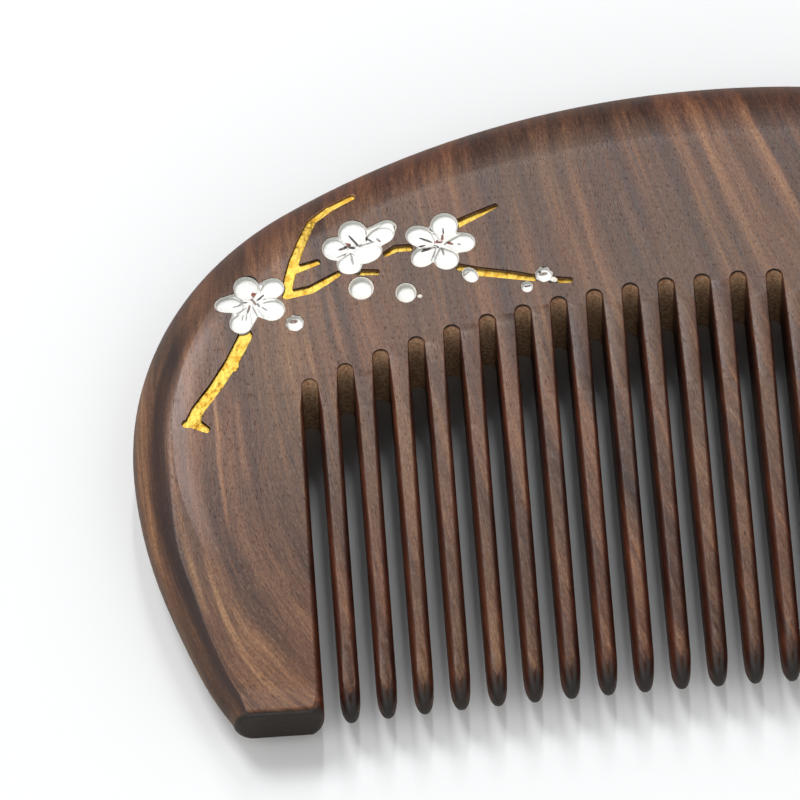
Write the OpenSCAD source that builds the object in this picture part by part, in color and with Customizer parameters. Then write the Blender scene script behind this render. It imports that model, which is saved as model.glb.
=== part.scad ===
// Half-moon wooden hair comb, lying on its back, with a plum branch let into its front.
// Millimetres, +Z up. The teeth point to -Y, and the origin is under the middle of the comb.

/* [Comb] */
// Length from the crown of the spine to the ends of the two guard teeth
comb_len = 63.4; // [60:0.1:66]
// Thickness of the body
body_t = 9; // [7:0.1:11]
// Radius of the spine's long arc
crown_r = 83; // [80:1:86]
// Radius of the rounded shoulders
shoulder_r = 29.6; // [28:0.1:31]
// Radius of the sides below the shoulders
flank_r = 46.6; // [42:0.1:50]
// Radius of the guard teeth's outer sides
guard_r = 106; // [100:1:112]
// Angle from +Y at which the spine's arc meets the shoulder
crown_a = 29.7; // [28:0.1:31]
// Angle from +Y at which the shoulder meets the side
shoulder_a = 91.6; // [90:0.1:93]
// Angle from +Y at which the side meets the guard tooth
flank_a = 107.5; // [106:0.1:109]

/* [Rounded edge] */
// Width of the rounding at the crown
round_crown = 7.9; // [6:0.1:9]
// Width of the rounding where the shoulder begins
round_shoulder = 6.1; // [5:0.1:7]
// Width of the rounding where the shoulder ends
round_side = 3.2; // [2.5:0.1:4]
// Width of the rounding where the guard tooth begins
round_guard = 2; // [1.5:0.1:2.5]
// Width of the rounding at the guard tooth's end
round_end = 1.3; // [0.8:0.1:1.5]
// How far the rounding turns before it meets the face in a soft crease, in degrees
crease_a = 72; // [60:1:85]

/* [Teeth] */
// Distance from one tooth to the next
pitch = 3.3; // [3.2:0.05:3.4]
// Width of a slot between two teeth
slot_w = 1.46; // [1.2:0.02:1.7]
// Number of slots, one of them on the middle line
slots = 25; // [21:2:25]
// Height of the middle slot's round end, from the middle of the comb
root_y = 9.35; // [8:0.05:11]
// Radius of the arc that the slots' round ends follow
root_arc_r = 94; // [88:1:110]
// Place of the middle teeth's tips
tip_y = -30.3; // [-31:0.1:-29]
// Radius of the arc that the tips follow
tip_arc_r = 440; // [400:10:900]
// Length of a tip's rounding
tip_len = 2; // [1.4:0.1:2.4]
// How far the front drops from the slots' ends to the tips
front_drop = 3.3; // [2.5:0.1:3.5]
// How far the back rises to the tips
back_rise = 1.3; // [0.8:0.1:1.6]
// Softening of a tooth's edges at its root
edge_root = 0.05; // [0.03:0.01:0.1]
// Softening of a tooth's edges at its tip
edge_tip = 0.48; // [0.3:0.01:0.55]

/* [Inlay] */
// Depth of the recesses cut into the face
recess = 0.7; // [0.5:0.05:0.9]
// How far the inlay's floor lies below the face
sunk = 0.35; // [0.2:0.05:0.4]
// Gap round each inlaid piece
gap = 0.05; // [0.03:0.01:0.08]

/* [Hidden] */
wood = "#77625a";
gold = "#d8b65c";
white = "#f1eee8";

top_y = comb_len / 2;
end_y = -comb_len / 2;
// Where the front and the back begin to thin towards the tips
front_from = root_y - 2;
back_from = root_y - 10;

// Outward direction at an angle measured from +Y towards +X
function out(a) = [sin(a), cos(a)];

// Centres of the four arcs, each tangent to the one before it
crown_c = [0, top_y - crown_r];
shoulder_c = crown_c + (crown_r - shoulder_r) * out(crown_a);
flank_c = shoulder_c + (shoulder_r - flank_r) * out(shoulder_a);
guard_c = flank_c + (flank_r - guard_r) * out(flank_a);
guard_a = acos((end_y - guard_c[1]) / guard_r);

// Columns of the arc table: centre, radius, first angle, last angle, steps,
// width of the rounding at the first and at the last angle
CENTRE = 0;
RADIUS = 1;
FIRST = 2;
LAST = 3;
STEPS = 4;
ROUND_FIRST = 5;
ROUND_LAST = 6;
arcs = [
    [crown_c, crown_r, 0, crown_a, 7, round_crown, round_shoulder],
    [shoulder_c, shoulder_r, crown_a, shoulder_a, 8, round_shoulder, round_side],
    [flank_c, flank_r, shoulder_a, flank_a, 2, round_side, round_guard],
    [guard_c, guard_r, flank_a, guard_a, 2, round_guard, round_end],
];
profile_steps = 8;

function soft(s) = s * s * (3 - 2 * s);
function mix(a, b, s) = a + (b - a) * s;
function clamp01(s) = max(0, min(1, s));

// Height of the front and of the back at a distance y along the comb
function front_z(y) = body_t - front_drop * pow(clamp01((front_from - y) / (front_from - end_y)), 2);
function back_z(y) = back_rise * pow(clamp01((back_from - y) / (back_from - end_y)), 2);

// A station on the right half of the outline: its point, its inward direction and its
// rounding's width. The last one looks straight inwards, so that the guard ends are flat.
function station(arc, s) =
    let (a = mix(arc[FIRST], arc[LAST], s),
         at_end = arc[LAST] == guard_a && s == 1)
    [arc[CENTRE] + arc[RADIUS] * out(a),
     at_end ? [-1, 0] : -out(a),
     mix(arc[ROUND_FIRST], arc[ROUND_LAST], soft(s))];
half_outline = [
    station(arcs[0], 0),
    for (arc = arcs, i = [1:arc[STEPS]]) station(arc, i / arc[STEPS])
];
last_station = len(half_outline) - 1;

// Points of one station from the front crease round the edge to the back crease
function edge_profile(st, side) = [
    for (j = [0:profile_steps])
        let (turn = crease_a * (1 - 2 * j / profile_steps),
             inset = st[2] * (1 - cos(turn)) / (1 - cos(crease_a)),
             p = st[0] + st[1] * inset,
             face_y = (st[0] + st[1] * st[2])[1],
             middle = (front_z(face_y) + back_z(face_y)) / 2,
             half = (front_z(face_y) - back_z(face_y)) / 2)
        [side * p[0], p[1], middle + half * sin(turn) / sin(crease_a)]
];

// The comb before its slots and recesses are cut
module blank() {
    ring = profile_steps + 1;
    points = [
        for (i = [-last_station:last_station])
            each edge_profile(half_outline[abs(i)], i < 0 ? -1 : 1)
    ];
    function at(i, j) = (i + last_station) * ring + j;
    edge = [
        for (i = [-last_station:last_station - 1], j = [0:profile_steps - 1]) each [
            [at(i, j), at(i, j + 1), at(i + 1, j)],
            [at(i + 1, j), at(i, j + 1), at(i + 1, j + 1)]
        ]
    ];
    front_and_back = [
        for (i = [0:last_station - 1]) each [
            i == 0 ? [at(0, 0), at(1, 0), at(-1, 0)]
                   : [at(-i, 0), at(i, 0), at(i + 1, 0), at(-i - 1, 0)],
            i == 0 ? [at(0, profile_steps), at(-1, profile_steps), at(1, profile_steps)]
                   : [at(i, profile_steps), at(-i, profile_steps),
                      at(-i - 1, profile_steps), at(i + 1, profile_steps)]
        ]
    ];
    teeth_end = [concat([for (j = [0:profile_steps]) at(last_station, j)],
                        [for (j = [profile_steps:-1:0]) at(-last_station, j)])];
    polyhedron(points, concat(edge, front_and_back, teeth_end));
}

function slot_x(k) = (k - (slots - 1) / 2) * pitch;
function root_at(x) = root_y - x * x / (2 * root_arc_r);
function tip_at(x) = tip_y - x * x / (2 * tip_arc_r);

// Columns of the slot's levels: the face it is measured from (0 back, 1 front), the depth
// below that face as a share of the softened depth, and the share of the softening there
LEVEL_FACE = 0;
LEVEL_DEPTH = 1;
LEVEL_SOFT = 2;
levels = [
    [0, -0.4, 1.4],
    [0, 1, 0],
    [1, 1, 0],
    [1, 0.35, 0.3],
    [1, -0.4, 1.8],
];
// Columns of the slot's stations: angle round its round end, distance along the teeth from
// root to tip, and distance along the tip's rounding
S_ANGLE = 0;
S_ALONG = 1;
S_TIP = 2;
stations = [
    [0, 0, 0],
    [45, 0, 0],
    [90, 0, 0],
    [90, 0.5, 0],
    [90, 1, 0],
    [90, 1, 0.6],
    [90, 1, 0.95],
    [90, 1, 2],
];
guard_corner = 1.2;
soft_root = 0.4;
soft_tip = 1.6;

// One side of a slot's wall at a station and level, side -1 or 1. A wall that belongs to a
// guard tooth keeps its line to the end and turns a small corner there.
function slot_point(x, side, st, lv) =
    let (run = st[S_ALONG],
         root_c = root_at(x) - slot_w / 2,
         straight_end = tip_at(x) + tip_len,
         y0 = mix(root_c, straight_end, run) - tip_len * st[S_TIP],
         softened = mix(edge_root, edge_tip, run) * lv[LEVEL_SOFT],
         tooth_half = (pitch - slot_w) / 2 - softened,
         narrowing = sqrt(1 - pow(min(st[S_TIP], 0.95), 2)),
         corner = clamp01((end_y + guard_corner - y0) / guard_corner),
         guarded = side * x > slot_x(slots - 1) - 0.1,
         half = guarded ? slot_w / 2 + softened + guard_corner * (1 - sqrt(1 - corner * corner))
                        : pitch / 2 - tooth_half * narrowing,
         y = y0 + half * cos(st[S_ANGLE]),
         depth = mix(soft_root, soft_tip, run) * lv[LEVEL_DEPTH],
         z = lv[LEVEL_FACE] == 1 ? front_z(y0) - depth : back_z(y0) + depth)
    [x + side * half * sin(st[S_ANGLE]), y, z];

// What is sawn out between two teeth, through both faces, wider at the faces than inside
module slot(x) {
    rows = len(stations);
    cols = len(levels);
    points = concat(
        [for (st = stations, lv = levels) slot_point(x, -1, st, lv)],
        [for (st = stations, lv = levels) slot_point(x, 1, st, lv)]
    );
    function left(i, j) = i * cols + j;
    // Both walls share the line at the slot's round end
    function right(i, j) = i == 0 ? left(0, j) : rows * cols + i * cols + j;
    walls = [
        for (i = [0:rows - 2], j = [0:cols - 2]) each [
            [left(i, j), left(i, j + 1), left(i + 1, j)],
            [left(i + 1, j), left(i, j + 1), left(i + 1, j + 1)],
            [right(i, j), right(i + 1, j), right(i, j + 1)],
            [right(i + 1, j), right(i + 1, j + 1), right(i, j + 1)]
        ]
    ];
    lids = [
        for (i = [0:rows - 2], lid = [0, cols - 1])
            let (quad = i == 0 ? [left(0, lid), left(1, lid), right(1, lid)]
                               : [left(i, lid), left(i + 1, lid), right(i + 1, lid), right(i, lid)])
            for (t = [1:len(quad) - 2])
                lid == 0 ? [quad[0], quad[t], quad[t + 1]] : [quad[0], quad[t + 1], quad[t]]
    ];
    mouth = [
        for (j = [0:cols - 2]) each [
            [left(rows - 1, j), left(rows - 1, j + 1), right(rows - 1, j)],
            [right(rows - 1, j), left(rows - 1, j + 1), right(rows - 1, j + 1)]
        ]
    ];
    polyhedron(points, concat(walls, lids, mouth));
}

// Steps of the tips' rounding seen from the side: share of the half thickness
tip_profile = [-1, -0.85, -0.4, 0.4, 0.85, 1];
past_faces = 2;

// What is taken off beyond the tips, rounded between front and back, along the tips' arc
module beyond_tips() {
    reach = slot_x(slots - 1);
    sections = 8;
    points = [
        for (i = [0:sections])
            let (x = mix(-reach, reach, i / sections),
                 y_full = tip_at(x) + tip_len,
                 middle = (front_z(y_full) + back_z(y_full)) / 2,
                 half = (front_z(y_full) - back_z(y_full)) / 2)
            each concat(
                [[x, y_full, -past_faces]],
                [for (s = tip_profile) [x, y_full - tip_len * sqrt(1 - s * s), middle + half * s]],
                [[x, y_full, body_t + past_faces],
                 [x, end_y - past_faces, body_t + past_faces],
                 [x, end_y - past_faces, -past_faces]]
            )
    ];
    ring = len(tip_profile) + 4;
    sides = [
        for (i = [0:sections - 1], j = [0:ring - 1])
            let (a = i * ring + j,
                 b = i * ring + (j + 1) % ring)
            each [[a, a + ring, b], [b, a + ring, b + ring]]
    ];
    ends = [[for (j = [0:ring - 1]) j], [for (j = [ring - 1:-1:0]) sections * ring + j]];
    polyhedron(points, concat(sides, ends));
}

// The arc whose sector a point of the right half lies in
function arc_at(p, i = 0) =
    i == len(arcs) - 1 || angle_at(p, arcs[i]) <= arcs[i][LAST] ? arcs[i] : arc_at(p, i + 1);
function angle_at(p, arc) = atan2(p[0] - arc[CENTRE][0], p[1] - arc[CENTRE][1]);

// Height of the front at any point, on the flat face or on the rounded edge
function surface_z(x, y) =
    let (p = [abs(x), y],
         arc = arc_at(p),
         share = (angle_at(p, arc) - arc[FIRST]) / (arc[LAST] - arc[FIRST]),
         width = mix(arc[ROUND_FIRST], arc[ROUND_LAST], soft(clamp01(share))),
         inset = clamp01((arc[RADIUS] - norm(p - arc[CENTRE])) / width),
         turn = acos(1 - inset * (1 - cos(crease_a))),
         half = (front_z(y) - back_z(y)) / 2)
    front_z(y) - half * (1 - sin(turn) / sin(crease_a));

// Columns of the twig tables: place along X and Y, and width there
X = 0;
Y = 1;
WIDTH = 2;
stem_line = [[-45.1, 6.0, 1.3], [-46.5, 3.3, 1.25], [-48.2, 0.7, 1.2], [-49.9, -1.5, 1.2],
             [-50.4, -2.6, 1.5]];
stem_foot = [[-51.1, -3.1, 0.6], [-49.2, -3.8, 0.6]];
fork_upper = [[-41.1, 10.0, 0.9], [-40.8, 11.7, 1.0], [-40.2, 13.6, 1.0], [-39.3, 16.0, 0.95],
              [-38.4, 18.1, 0.9], [-36.7, 19.6, 0.85], [-34.5, 20.8, 0.6]];
fork_side = [[-40.6, 12.5, 0.9], [-38.1, 13.3, 0.6]];
fork_lower = [[-41.1, 10.0, 0.9], [-38.9, 10.4, 0.9], [-37.5, 11.2, 0.8], [-36.3, 11.9, 0.6]];
spur_line = [[-34.4, 11.9, 0.9], [-32.4, 11.8, 0.8]];
link_line = [[-32.1, 13.6, 0.9], [-30.9, 14.2, 0.9], [-29.5, 14.3, 0.9]];
upper_line = [[-25.2, 16.6, 0.9], [-23.1, 17.6, 0.8], [-21.3, 18.4, 0.5]];
long_line = [[-25.3, 11.9, 0.7], [-23.4, 11.3, 0.9], [-20.5, 10.7, 1.0], [-18.2, 10.3, 0.9]];
end_line = [[-16.9, 10.0, 0.8], [-15.3, 9.9, 0.7]];

// Columns of the petal tables: direction from the blossom's middle, distance and diameter
WAY = 0;
REACH = 1;
SIZE = 2;
blossom_places = [[-44.4, 9.3], [-34.9, 14.6], [-27.0, 14.4]];
blossom_petals = [
    [[97, 1.95, 2.3], [38, 2.4, 2.4], [-32, 2.1, 2.2], [-117, 2.2, 2.2], [174, 2.4, 2.3]],
    [[82, 1.9, 2.2], [188, 2.0, 2.0], [258, 1.9, 2.0], [-31, 1.7, 2.4], [27, 3.1, 2.0]],
    [[158, 2.1, 2.1], [72, 2.0, 2.2], [-2, 2.4, 2.2], [-72, 1.9, 2.1], [218, 2.2, 2.2]],
];
petal_base = 1.4;

// Columns of the bud table: place along X and Y, and diameter
buds = [[-34.3, 10.4, 2.3], [-30.3, 9.6, 1.9], [-40.6, 7.1, 1.6],
        [-24.4, 11.1, 1.4], [-19.2, 9.15, 1.1], [-17.6, 10.8, 1.6]];

spot_sides = 11;

// Heights of an inlaid part, from the face: its bottom, its top, and how much wider it is
BOTTOM = 0;
TOP = 1;
WIDER = 2;
cut = [-recess, 2, 0];
fill = [gap - recess, -sunk, -gap];
clear = [-2, 2, gap];

// A round spot on the front, as low as the lowest of the face round it
module spot(x, y, size, part) {
    r = size / 2 + part[WIDER];
    z = min([for (a = [0:45:315]) surface_z(x + r * cos(a), y + r * sin(a))]);
    translate([x, y, z + part[BOTTOM]]) cylinder(r = r, h = part[TOP] - part[BOTTOM], $fn = spot_sides);
}

// Rounded lengths through the rows of a twig table
module twig(line, part) {
    for (i = [0:len(line) - 2])
        hull()
            for (row = [line[i], line[i + 1]])
                spot(row[X], row[Y], row[WIDTH], part);
}

module stem_shape(part) {
    twig(stem_line, part);
    twig(stem_foot, part);
}

module fork_shape(part) {
    twig(fork_upper, part);
    twig(fork_side, part);
    twig(fork_lower, part);
}

// Five petals, each narrowing to the blossom's middle
module blossom_shape(n, part) {
    middle = blossom_places[n];
    for (petal = blossom_petals[n])
        hull() {
            spot(middle[X], middle[Y], petal_base, part);
            spot(middle[X] + petal[REACH] * cos(petal[WAY]),
                 middle[Y] + petal[REACH] * sin(petal[WAY]), petal[SIZE], part);
        }
}

module bud_shape(n, part) {
    spot(buds[n][X], buds[n][Y], buds[n][SIZE], part);
}

module comb() {
    color(wood)
        difference() {
            blank();
            for (k = [0:slots - 1]) slot(slot_x(k));
            beyond_tips();
            stem_shape(cut);
            fork_shape(cut);
            for (line = [spur_line, link_line, upper_line, long_line, end_line]) twig(line, cut);
            for (n = [0:len(blossom_places) - 1]) blossom_shape(n, cut);
            for (n = [0:len(buds) - 1]) bud_shape(n, cut);
        }
}

module stem() {
    color(gold)
        difference() {
            stem_shape(fill);
            blossom_shape(0, clear);
        }
}

module fork() {
    color(gold)
        difference() {
            fork_shape(fill);
            blossom_shape(0, clear);
        }
}

module spur_twig() {
    color(gold)
        difference() {
            twig(spur_line, fill);
            blossom_shape(1, clear);
        }
}

module link_twig() {
    color(gold)
        difference() {
            twig(link_line, fill);
            blossom_shape(1, clear);
            blossom_shape(2, clear);
        }
}

module upper_twig() {
    color(gold)
        difference() {
            twig(upper_line, fill);
            blossom_shape(2, clear);
        }
}

module long_twig() {
    color(gold)
        difference() {
            twig(long_line, fill);
            bud_shape(3, clear);
            bud_shape(4, clear);
            bud_shape(5, clear);
        }
}

module end_twig() {
    color(gold)
        difference() {
            twig(end_line, fill);
            bud_shape(5, clear);
        }
}

module blossom(n) {
    color(white) blossom_shape(n, fill);
}

module bud(n) {
    color(white) bud_shape(n, fill);
}

comb();
stem();
fork();
spur_twig();
link_twig();
upper_twig();
long_twig();
end_twig();
blossom(0);  // blossom_1
blossom(1);  // blossom_2
blossom(2);  // blossom_3
bud(0);  // bud_1
bud(1);  // bud_2
bud(2);  // bud_3
bud(3);  // bud_4
bud(4);  // bud_5
bud(5);  // bud_6
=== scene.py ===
from math import acos, atan2, cos, hypot, pi, radians, sin, sqrt

import bmesh
import bpy
from mathutils import Matrix, Vector
from mathutils.bvhtree import BVHTree


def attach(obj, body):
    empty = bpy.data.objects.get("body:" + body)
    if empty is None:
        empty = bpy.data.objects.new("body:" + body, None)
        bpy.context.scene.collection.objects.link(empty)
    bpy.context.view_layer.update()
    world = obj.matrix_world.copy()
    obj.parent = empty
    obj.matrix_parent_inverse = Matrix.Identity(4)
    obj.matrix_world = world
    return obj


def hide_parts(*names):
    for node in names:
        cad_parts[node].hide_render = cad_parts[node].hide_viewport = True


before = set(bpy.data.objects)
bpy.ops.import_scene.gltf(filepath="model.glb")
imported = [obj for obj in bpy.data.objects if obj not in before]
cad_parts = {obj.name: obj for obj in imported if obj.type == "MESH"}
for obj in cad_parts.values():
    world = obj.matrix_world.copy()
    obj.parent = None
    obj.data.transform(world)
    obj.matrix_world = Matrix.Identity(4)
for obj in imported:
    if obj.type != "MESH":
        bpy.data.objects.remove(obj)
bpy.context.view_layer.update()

# The view. The comb lies on its back on a pale table and is seen steeply from above, from
# the side of its teeth. Lengths are in metres, and mm is one millimetre.
mm = 0.001
aim = Vector((-31.469, 0.7625, 4.5)) * mm
view_tilt = radians(31.0)
view_turn = radians(-2.021)
view_roll = radians(-2.082)
view_distance = 823 * mm
look = (Matrix.Rotation(view_turn, 4, "Z") @ Matrix.Rotation(view_tilt, 4, "X")
        @ Matrix.Rotation(view_roll, 4, "Z"))
bpy.ops.object.camera_add(location=aim + look @ Vector((0, 0, view_distance)),
                          rotation=look.to_euler())
camera = bpy.context.object
camera.data.sensor_width = 36
camera.data.lens = 407.2
bpy.context.scene.camera = camera
bpy.context.scene.view_settings.view_transform = "Standard"

# The table and the studio light. The table is matt and pale. A narrow soft lamp stands behind
# the comb and a little to the right, and a broad one to the left. The surroundings are bright at
# both sides, and in front near the table. They are dim elsewhere, so the gaps stay dark.


def tone(red, green, blue):
    """A colour given as it shows on a screen, 0 to 255."""
    return tuple((value / 255) ** 2.2 for value in (red, green, blue)) + (1,)


def node(tree, kind, values=None, **settings):
    """Adds a shader node. Its values are numbers, colours or other nodes' outputs."""
    new = tree.nodes.new("ShaderNode" + kind)
    for name, value in settings.items():
        setattr(new, name, value)
    for socket, value in (values or {}).items():
        if isinstance(value, bpy.types.NodeSocket):
            tree.links.new(value, new.inputs[socket])
        else:
            new.inputs[socket].default_value = value
    return new


def reckon(tree, operation, *values):
    """Output of a Math node."""
    return node(tree, "Math", dict(enumerate(values)), operation=operation).outputs[0]


def times(tree, *values):
    """Product of several outputs or numbers."""
    product = values[0]
    for value in values[1:]:
        product = reckon(tree, "MULTIPLY", product, value)
    return product


def fade(tree, value, start, end, low=0, high=1):
    """Output that goes softly from low to high while a value goes from start to end."""
    limits = {0: value, 1: start, 2: end, 3: low, 4: high}
    return node(tree, "MapRange", limits, interpolation_type="SMOOTHSTEP").outputs[0]


def tint(tree, share, first, second, way="MIX"):
    """Colour output that mixes two colours by a share."""
    return node(tree, "Mix", {0: share, 6: first, 7: second},
                data_type="RGBA", blend_type=way).outputs[2]


def new_material(name):
    """A new material with its tree of nodes and its Principled shader."""
    material = bpy.data.materials.new(name)
    material.use_nodes = True
    return material, material.node_tree, material.node_tree.nodes["Principled BSDF"]


def paint(piece, material):
    """Gives a piece one material all over."""
    piece.data.materials.clear()
    piece.data.materials.append(material)


table_size = 6
table_drop = 0.01 * mm
tone_seen = tone(244, 246, 248)
tone_in_gloss = tone(192, 190, 186)
tone_thrown_back = tone(140, 132, 126)
bpy.ops.mesh.primitive_plane_add(size=table_size, location=(0, 0, -table_drop))
table = bpy.context.object
table.name = "table"
table_paint, tree, table_shader = new_material("table paint")
light_path = node(tree, "LightPath").outputs
table_tone = tint(tree, light_path["Is Camera Ray"], tone_in_gloss, tone_seen)
table_tone = tint(tree, light_path["Is Diffuse Ray"], table_tone, tone_thrown_back)
tree.links.new(table_tone, table_shader.inputs["Base Color"])
table_shader.inputs["Roughness"].default_value = 0.9
table_shader.inputs["Specular IOR Level"].default_value = 0.1
paint(table, table_paint)

# The light of the surroundings goes by the direction that it comes from, whose parts along X,
# to the right, Y, away from the camera, and Z, upward, lie between -1 and 1
dim_light = 0.04
side_light = 0.84
dim_until = 0.14
bright_from = 0.36
share_behind = 0.7
share_in_front = 1.3
share_at_left = 1.22
share_at_right = 0.8
low_front_light = 2.3
surroundings = bpy.data.worlds.new("surroundings")
surroundings.use_nodes = True
tree = surroundings.node_tree
sky_way = node(tree, "SeparateXYZ", {0: node(tree, "TexCoord").outputs["Generated"]}).outputs
from_side = reckon(tree, "ABSOLUTE", sky_way[0])
sides = times(tree, fade(tree, from_side, dim_until, bright_from, dim_light, side_light),
              fade(tree, sky_way[1], 0.4, -0.5, share_behind, share_in_front),
              fade(tree, sky_way[0], -0.3, 0.3, share_at_left, share_at_right))
low_front = times(tree, fade(tree, sky_way[1], -0.8, -0.93, 0, low_front_light),
                  fade(tree, sky_way[2], 0, 0.12))
tree.links.new(reckon(tree, "MAXIMUM", sides, low_front),
               tree.nodes["Background"].inputs["Strength"])
tree.nodes["Background"].inputs["Color"].default_value = (1, 0.985, 0.965, 1)
bpy.context.scene.world = surroundings
lamp_target = Vector((-20 * mm, 0, 0))


def soft_lamp(name, place, width, height, power):
    """Adds an oblong soft lamp that looks at the comb."""
    aim_way = lamp_target - Vector(place)
    bpy.ops.object.light_add(type="AREA", location=place,
                             rotation=aim_way.to_track_quat("-Z", "Y").to_euler())
    lamp = bpy.context.object
    lamp.name = name
    lamp.data.shape = "RECTANGLE"
    lamp.data.size = width
    lamp.data.size_y = height
    lamp.data.energy = power


soft_lamp("lamp behind", (0.09, 1.19, 1.33), 0.11, 0.76, 6.2)
soft_lamp("lamp at the left", (-0.5, 0.79, 1.44), 0.5, 0.58, 12.0)

# The comb's blank. A board of dark hard wood is sawn to a half moon, its edge is rounded over
# so that it meets the flat faces in a soft crease, and both faces thin towards the tips.
# It is modelled in millimetres, one half first, by carrying the edge's section round the outline.
comb_width = 63.4
body_thickness = 9
top_y = comb_width / 2
end_y = -comb_width / 2
slot_end_y = 9.35
front_drop = 3.3
back_rise = 1.3
front_thins_from = slot_end_y - 2
back_thins_from = slot_end_y - 10
crease_turn = radians(72)
crown_round = 7.9
section_points = 60
end_easing = 0.6
easing_steps = 4
near = 0.001


def outward(angle):
    """Level direction at an angle from +Y towards +X."""
    return Vector((sin(angle), cos(angle), 0))


def mix(a, b, share):
    """A value between two others."""
    return a + (b - a) * share


def soft(share):
    """A share from 0 to 1 that starts and ends gently."""
    return share * share * (3 - 2 * share)


def front_z(y):
    """Height of the front face at a place along the teeth."""
    share = max(0, min(1, (front_thins_from - y) / (front_thins_from - end_y)))
    return body_thickness - front_drop * share ** 2


def back_z(y):
    """Height of the back face at a place along the teeth."""
    share = max(0, min(1, (back_thins_from - y) / (back_thins_from - end_y)))
    return back_rise * share ** 2


# Columns: radius, last angle, steps, and the width of the edge's rounding there
outline = [
    (83, radians(29.7), 20, 6.1),
    (29.6, radians(91.6), 30, 3.7),
    (46.6, radians(107.5), 7, 2.4),
    (106, radians(112), 5, 1.9),
    (26, None, 6, 1.6),
]


def pick(kind, test, among=None):
    """Selects the vertices or edges of the mesh being edited that pass a test."""
    bpy.context.tool_settings.mesh_select_mode = (kind == "VERT", kind == "EDGE", False)
    bm = bmesh.from_edit_mesh(bpy.context.object.data)
    bm.select_mode = {kind}
    for part in (bm.faces, bm.edges, bm.verts):
        for element in part:
            element.select = False
    elements = bm.verts if kind == "VERT" else bm.edges
    if among is not None:
        elements.ensure_lookup_table()
        elements = [elements[i] for i in among]
    for element in elements:
        if test(element):
            element.select_set(True)
    bm.select_flush_mode()
    bmesh.update_edit_mesh(bpy.context.object.data)


def picked_vertices():
    """Numbers of the selected vertices of the mesh being edited."""
    bm = bmesh.from_edit_mesh(bpy.context.object.data)
    bm.verts.index_update()
    return [v.index for v in bm.verts if v.select]


def choose(piece):
    """Selects one object alone."""
    bpy.ops.object.select_all(action="DESELECT")
    piece.select_set(True)
    bpy.context.view_layer.objects.active = piece


def edit(piece):
    """Starts to edit the mesh of one object."""
    choose(piece)
    bpy.ops.object.mode_set(mode="EDIT")


def select_mesh():
    """Selects all of the mesh being edited."""
    bpy.ops.mesh.select_all(action="SELECT")


def move(x, y, z):
    """Moves what is selected in the mesh being edited."""
    bpy.ops.transform.translate(value=(x, y, z))


def resize(x, y, z, about):
    """Resizes what is selected in the mesh being edited about a place."""
    bpy.ops.transform.resize(value=(x, y, z), center_override=about)


def end_editing():
    """Turns all faces outward and ends the editing."""
    select_mesh()
    bpy.ops.mesh.normals_make_consistent(inside=False)
    bpy.ops.object.mode_set(mode="OBJECT")


def settle(piece):
    """Ends the editing, with the object's place put into its mesh."""
    if bpy.context.mode != "OBJECT":
        bpy.ops.object.mode_set(mode="OBJECT")
    choose(piece)
    bpy.ops.object.transform_apply(location=True, rotation=True, scale=True)


section_scale = 1 - cos(crease_turn)
crown_half = body_thickness / 2
bpy.ops.mesh.primitive_circle_add(vertices=section_points, radius=1,
                                  location=(0, top_y - 1, crown_half), rotation=(0, pi / 2, 0))
comb = bpy.context.object
comb.name = "comb_body"
settle(comb)
edit(comb)
pick("VERT", lambda v: v.co.y < top_y - 1 + cos(crease_turn) - near)
bpy.ops.mesh.delete(type="VERT")
select_mesh()
resize(1, crown_round / section_scale, crown_half / sin(crease_turn), (0, top_y, crown_half))

centre = Vector((0, top_y - outline[0][0], 0))
arc_centres = []
angle = 0
width = crown_round
half = crown_half
middle = crown_half
for row, (radius, last_angle, steps, last_width) in enumerate(outline):
    if row:
        centre = centre + (outline[row - 1][0] - radius) * outward(angle)
    arc_centres.append(centre)
    if last_angle is None:
        last_angle = acos((end_y + end_easing - centre.y) / radius)
    first_angle = angle
    first_width = width
    for step in range(1, steps + 1):
        share = step / steps
        step_turn = (last_angle - first_angle) / steps
        angle = first_angle + share * (last_angle - first_angle)
        new_width = mix(first_width, last_width, soft(share))
        point = centre + radius * outward(angle)
        crease_y = (point - outward(angle) * new_width).y
        new_half = (front_z(crease_y) - back_z(crease_y)) / 2
        new_middle = (front_z(crease_y) + back_z(crease_y)) / 2
        bpy.ops.mesh.extrude_region()
        bpy.ops.transform.rotate(value=step_turn, orient_axis="Z", center_override=centre)
        resize(new_width / width, new_width / width, new_half / half, (point.x, point.y, middle))
        move(0, 0, new_middle - middle)
        width = new_width
        half = new_half
        middle = new_middle
resize(1, 0, 1, (0, end_y + end_easing, 0))
for step in range(1, easing_steps + 1):
    turned = step / easing_steps * pi / 2
    turned_before = (step - 1) / easing_steps * pi / 2
    eased = end_easing * (1 - cos(turned))
    eased_before = end_easing * (1 - cos(turned_before))
    bpy.ops.mesh.extrude_region()
    resize(1, 1, (half - eased) / (half - eased_before), (0, 0, middle))
    move(eased_before - eased, end_easing * (sin(turned_before) - sin(turned)), 0)

# Both faces and the flat end reach in to the middle line, and the left half mirrors the
# right one.
pick("EDGE", lambda e: e.is_boundary and max(abs(v.co.x) for v in e.verts) > near)
bpy.ops.mesh.extrude_region()
resize(0, 1, 1, (0, 0, 0))
select_mesh()
bpy.ops.mesh.remove_doubles(threshold=near)
end_editing()


def finish_with(piece, kind, **settings):
    """Adds a modifier to a piece and applies it."""
    choose(piece)
    bpy.ops.object.modifier_add(type=kind)
    modifier = piece.modifiers[-1]
    for name, value in settings.items():
        setattr(modifier, name, value)
    bpy.ops.object.modifier_apply(modifier=modifier.name)


finish_with(comb, "MIRROR", use_axis=(True, False, False), merge_threshold=near)
edit(comb)
end_editing()

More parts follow.
